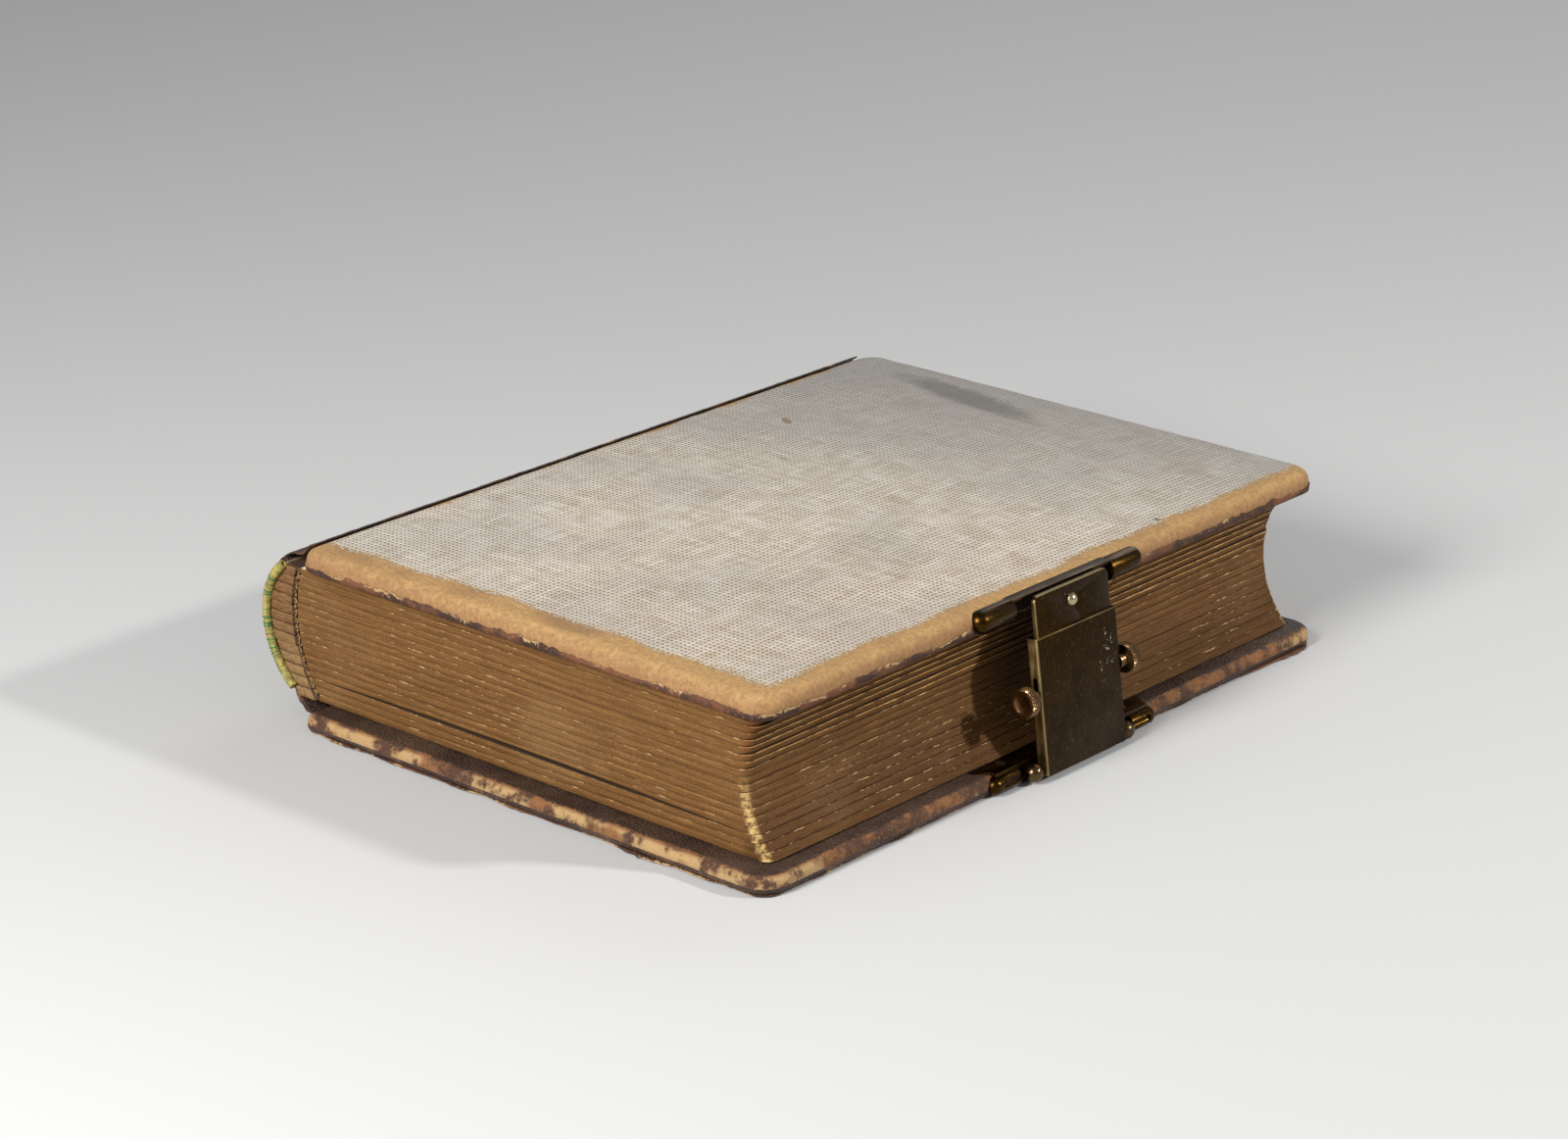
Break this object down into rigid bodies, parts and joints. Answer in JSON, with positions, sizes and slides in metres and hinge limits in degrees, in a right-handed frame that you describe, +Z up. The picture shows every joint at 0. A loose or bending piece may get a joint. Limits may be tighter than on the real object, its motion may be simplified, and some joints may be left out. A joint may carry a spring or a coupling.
{
  "type": "antique photo album",
  "caption": "Small antique photo album lying on its back cover, with worn padded boards, a rounded spine, thick card leaves and a brass hasp clasp on the fore-edge.",
  "frame": {"origin": "middle of the back cover's flat underside, which lies on the table", "axes": "+X from the spine to the fore-edge, +Y from the tail to the head, +Z up through the closed album"},
  "size_m": [0.1283, 0.159, 0.0337],
  "materials": {
    "board": "dull, worn",
    "leather": "grained, worn at the rims",
    "endpaper": "matt",
    "leaf_card": "aged gilt edges",
    "stub_card": "dull",
    "endband": "stitched",
    "lining": "matt",
    "cloth": "open weave, worn",
    "brass": "dark, aged",
    "knob": "aged, coppery"
  },
  "bodies": {
    "back_cover": {"back_board": "board", "back_leather": "leather", "back_pastedown": "endpaper", "hinge_plate": "brass", "hinge_plate_rivets": "brass", "hinge_pin": "brass", "pin_finial": "brass"},
    "leaf_block": {"leaves": "leaf_card", "leaf_stubs": "stub_card", "head_endband": "endband", "tail_endband": "endband", "spine_lining": "lining", "spine_leather": "leather"},
    "front_cover": {"front_board": "board", "front_cloth": "cloth", "front_leather": "leather", "front_pastedown": "endpaper", "catch": "brass", "catch_rivets": "brass"},
    "hasp_sleeve": {"sleeve": "brass"},
    "hasp_tongue": {"tongue": "brass", "tongue_stud": "brass", "cross_pin": "brass", "tail_knob": "knob", "head_knob": "knob"}
  },
  "joints": [
    {"name": "back_fold", "type": "hinge", "parent": "back_cover", "child": "leaf_block", "pos_m": [-0.062, 0, 0.0042], "axis": [0, -1, 0], "range_deg": [0, 40]},
    {"name": "front_fold", "type": "hinge", "parent": "leaf_block", "child": "front_cover", "pos_m": [-0.0635, 0, 0.0299], "axis": [0, -1, 0], "range_deg": [0, 150]},
    {"name": "hasp_hinge", "type": "hinge", "parent": "back_cover", "child": "hasp_sleeve", "pos_m": [0.0569, 0.0025, 0.0021], "axis": [0, 1, 0], "range_deg": [0, 90]},
    {"name": "tongue_slide", "type": "slide", "parent": "hasp_sleeve", "child": "hasp_tongue", "axis": [-0.1305, 0, 0.9914], "range_m": [0, 0.003]}
  ]
}
